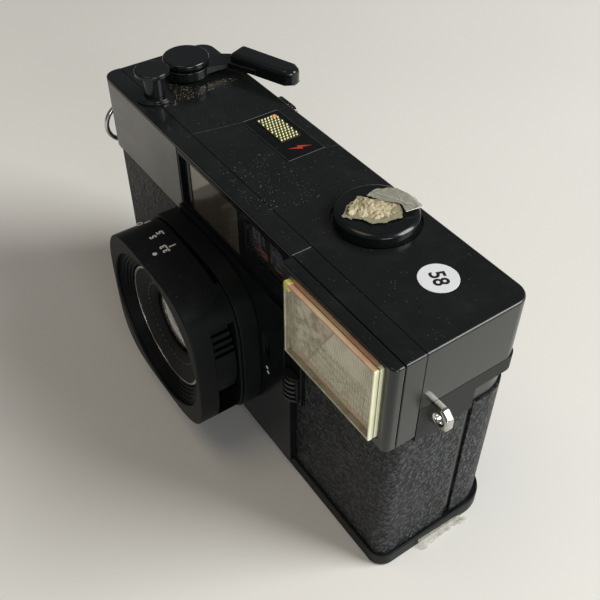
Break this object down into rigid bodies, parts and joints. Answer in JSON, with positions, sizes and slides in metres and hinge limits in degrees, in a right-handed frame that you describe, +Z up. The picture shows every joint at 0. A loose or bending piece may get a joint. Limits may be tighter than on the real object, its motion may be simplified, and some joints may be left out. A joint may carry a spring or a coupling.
{
  "type": "half frame camera",
  "caption": "Compact half-frame film camera with squared lens shroud, built-in flash, wind lever, rewind knob, hinged back and strap ring.",
  "frame": {"origin": "centre of the tripod socket's mouth, in the plane the base stands on", "axes": "+X towards the flash and rewind end, +Y out of the hinged back, +Z up; the lens looks along -Y"},
  "size_m": [0.1344, 0.0583, 0.0822],
  "materials": {
    "moulded_black": "satin black moulding",
    "chassis_black": "matt black moulding",
    "leatherette": "grained black covering",
    "gloss_black": "gloss black",
    "plate_grey": "dark grey paint",
    "bright_steel": "bright plating",
    "steel": "plain",
    "black_metal": "black enamel",
    "clear_window": "clear",
    "red_window": "dark reddish",
    "flash_clear": "clear, slightly yellow",
    "reflector": "bright",
    "optical": "coated",
    "cell_jacket": "printed sleeve",
    "board_green": "lacquered",
    "lamp_yellow": "translucent, gridded",
    "dial_white": "plain"
  },
  "bodies": {
    "camera": {"body_chassis": "chassis_black", "cassette_holder": "chassis_black", "battery_holder": "chassis_black", "body_leather": "leatherette", "front_panel": "moulded_black", "base_cover": "moulded_black", "tripod_bush": "steel", "battery_cells": "cell_jacket", "case_screws": "steel", "top_cover": "moulded_black", "front_cover": "moulded_black", "nameplate": "plate_grey", "window_frame": "gloss_black", "finder_window": "clear_window", "range_window": "red_window", "finder_tube": "chassis_black", "finder_lenses": "optical", "eyepiece_frame": "moulded_black", "counter_window": "clear_window", "flash_bezel": "moulded_black", "flash_housing": "moulded_black", "flash_window": "flash_clear", "flash_reflector": "reflector", "flash_tube": "clear_window", "flash_capacitor": "cell_jacket", "circuit_board": "board_green", "lamp_plate": "plate_grey", "lamp_window": "lamp_yellow", "button_collar": "black_metal", "button_spring": "steel", "hinge_pin": "steel", "strap_lugs": "bright_steel", "lens_mount": "moulded_black", "lens_shroud": "moulded_black", "baffle_ring": "black_metal", "rear_element": "optical", "shutter_housing": "moulded_black"},
    "battery_door": {"battery_lid": "moulded_black"},
    "counter": {"counter_dial": "dial_white"},
    "button": {"release_button": "black_metal"},
    "wind_lever": {"advance_lever": "black_metal", "lever_tip": "moulded_black"},
    "spool": {"takeup_spool": "moulded_black"},
    "film_sprocket": {"sprocket": "steel"},
    "knob_lift": {"latch_plate": "steel"},
    "rewind": {"rewind_knob": "gloss_black", "rewind_shaft": "steel"},
    "door": {"back_door": "black_metal", "door_leather": "leatherette"},
    "plate": {"pressure_plate": "black_metal"},
    "ring": {"strap_ring": "bright_steel"},
    "switch": {"flash_switch": "moulded_black"},
    "focus": {"focus_ring": "moulded_black"},
    "lens_cell": {"trim_ring": "bright_steel", "name_ring": "black_metal", "lens_barrel": "chassis_black", "front_element": "optical"},
    "blade_left": {"shutter_blade_left": "black_metal"},
    "blade_right": {"shutter_blade_right": "black_metal"},
    "release_pin": {"rewind_release": "steel"}
  },
  "joints": [
    {"name": "battery_lid_hinge", "type": "hinge", "parent": "camera", "child": "battery_door", "pos_m": [0.049, 0.0156, 0.00075], "axis": [1, 0, 0], "range_deg": [0, 90]},
    {"name": "wind_lever", "type": "hinge", "parent": "camera", "child": "wind_lever", "pos_m": [-0.049, 0.0023, 0.076], "axis": [0, 0, 1], "range_deg": [0, 130], "stiffness_Nm_per_rad": 0.004, "springref_deg": -17.19},
    {"name": "spool_turn", "type": "hinge", "parent": "camera", "child": "spool", "pos_m": [-0.049, 0.0023, 0.03], "axis": [0, 0, 1], "continuous": true},
    {"name": "sprocket_turn", "type": "hinge", "parent": "camera", "child": "film_sprocket", "pos_m": [-0.029, 0.0078, 0.03], "axis": [0, 0, 1], "continuous": true},
    {"name": "counter_turn", "type": "hinge", "parent": "camera", "child": "counter", "pos_m": [-0.024, 0.0084, 0.066], "axis": [0, 0, 1], "continuous": true},
    {"name": "button_press", "type": "slide", "parent": "camera", "child": "button", "axis": [0, 0, -1], "range_m": [0, 0.0022], "stiffness_N_per_m": 250, "springref_m": -0.002, "deforming": ["button_spring"]},
    {"name": "rewind_lift", "type": "slide", "parent": "camera", "child": "knob_lift", "axis": [0, 0, 1], "range_m": [0, 0.004], "stiffness_N_per_m": 150, "springref_m": -0.003},
    {"name": "rewind_turn", "type": "hinge", "parent": "knob_lift", "child": "rewind", "pos_m": [0.0272, 0.0054, 0.075], "axis": [0, 0, 1], "continuous": true},
    {"name": "back_hinge", "type": "hinge", "parent": "camera", "child": "door", "pos_m": [-0.0596, 0.0182, 0.03], "axis": [0, 0, 1], "range_deg": [0, 105]},
    {"name": "plate_press", "type": "slide", "parent": "door", "child": "plate", "axis": [0, 1, 0], "range_m": [0, 0.0008], "stiffness_N_per_m": 400, "springref_m": -0.001},
    {"name": "strap_ring_swing", "type": "hinge", "parent": "camera", "child": "ring", "pos_m": [-0.0647, -0.0109, 0.06245], "axis": [0, 1, 0], "range_deg": [0, 100]},
    {"name": "flash_switch_slide", "type": "slide", "parent": "camera", "child": "switch", "axis": [0, 0, 1], "range_m": [0, 0.0076]},
    {"name": "focus_turn", "type": "hinge", "parent": "camera", "child": "focus", "pos_m": [-0.0086, -0.025, 0.0325], "axis": [0, 1, 0], "range_deg": [0, 25]},
    {"name": "lens_cell_slide", "type": "slide", "parent": "camera", "child": "lens_cell", "axis": [0, -1, 0], "range_m": [0, 0.00078]},
    {"name": "blade_left_swing", "type": "hinge", "parent": "camera", "child": "blade_left", "pos_m": [-0.0121, -0.012, 0.0205], "axis": [0, -1, 0], "range_deg": [0, 42], "stiffness_Nm_per_rad": 0.00001, "springref_deg": -17.19},
    {"name": "blade_right_swing", "type": "hinge", "parent": "camera", "child": "blade_right", "pos_m": [-0.0051, -0.012, 0.0205], "axis": [0, -1, 0], "range_deg": [-42, 0]},
    {"name": "rewind_release_press", "type": "slide", "parent": "camera", "child": "release_pin", "axis": [0, 0, 1], "range_m": [0, 0.0012], "stiffness_N_per_m": 150, "springref_m": -0.001}
  ],
  "couplings": [
    {"joint": "sprocket_turn", "follows": "spool_turn", "ratio": 1.12},
    {"joint": "counter_turn", "follows": "spool_turn", "ratio": 0.028},
    {"joint": "focus_turn", "follows": "lens_cell_slide", "rad_per_m": 555},
    {"joint": "blade_right_swing", "follows": "blade_left_swing", "ratio": -1}
  ]
}
